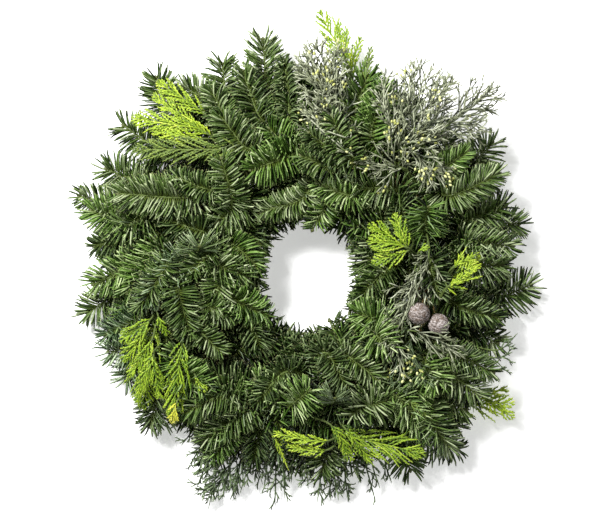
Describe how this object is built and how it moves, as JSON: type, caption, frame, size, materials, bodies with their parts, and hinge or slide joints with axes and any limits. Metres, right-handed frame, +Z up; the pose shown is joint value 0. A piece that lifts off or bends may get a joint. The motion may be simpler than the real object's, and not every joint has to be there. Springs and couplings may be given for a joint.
{
  "type": "evergreen wreath",
  "caption": "Round fresh evergreen wreath of noble fir shoots, golden and grey cypress sprays and round seed cones, wired to a straw ring.",
  "frame": {"origin": "middle of the whole wreath's outline, on the surface that it lies on", "axes": "+Z up out of the wreath's face, towards the viewer; +Y towards the top of the wreath as it is pictured; +X towards its right"},
  "size_m": [0.473, 0.5146, 0.107],
  "materials": {
    "straw": "matt dry straw",
    "wire": "green lacquer",
    "fir": "waxy needles",
    "light_fir": "waxy needles",
    "glaucous_fir": "waxy bloom",
    "dark_fir": "waxy needles",
    "gold_cypress": "matt scale leaves",
    "gold_green_cypress": "matt scale leaves",
    "grey_cypress": "matt scale leaves",
    "dark_cypress": "matt scale leaves",
    "seed_cone": "matt with a pale bloom"
  },
  "bodies": {
    "root": {"straw_ring": "straw", "binding_wire": "wire", "seed_cone_01": "seed_cone", "seed_cone_02": "seed_cone", "gold_frond_01": "gold_cypress", "gold_frond_02": "gold_cypress", "gold_frond_03": "gold_green_cypress", "gold_frond_04": "gold_cypress", "gold_frond_05": "gold_cypress", "gold_frond_06": "gold_cypress", "gold_frond_07": "gold_cypress", "gold_frond_08": "gold_cypress", "gold_frond_09": "gold_cypress", "gold_frond_10": "gold_cypress", "gold_frond_11": "gold_cypress", "grey_spray_01": "grey_cypress", "grey_spray_02": "grey_cypress", "grey_spray_03": "grey_cypress", "grey_spray_04": "grey_cypress", "grey_spray_05": "dark_cypress", "grey_spray_06": "dark_cypress", "grey_spray_07": "dark_cypress", "fir_01": "fir", "fir_02": "fir", "fir_03": "fir", "fir_04": "fir", "fir_05": "fir", "fir_06": "light_fir", "fir_07": "fir", "fir_08": "light_fir", "fir_09": "glaucous_fir", "fir_10": "fir", "fir_11": "fir", "fir_12": "fir", "fir_13": "fir", "fir_14": "light_fir", "fir_15": "glaucous_fir", "fir_16": "fir", "fir_17": "light_fir", "fir_18": "dark_fir", "fir_19": "fir", "fir_20": "light_fir", "fir_21": "dark_fir", "fir_22": "light_fir", "fir_23": "fir", "fir_24": "fir", "fir_25": "fir", "fir_26": "fir", "fir_27": "light_fir", "fir_28": "light_fir", "fir_29": "fir", "fir_30": "fir", "fir_31": "fir", "fir_32": "fir", "fir_33": "light_fir", "fir_34": "light_fir", "fir_35": "light_fir", "fir_36": "fir", "fir_37": "fir", "fir_38": "fir"}
  },
  "joints": []
}
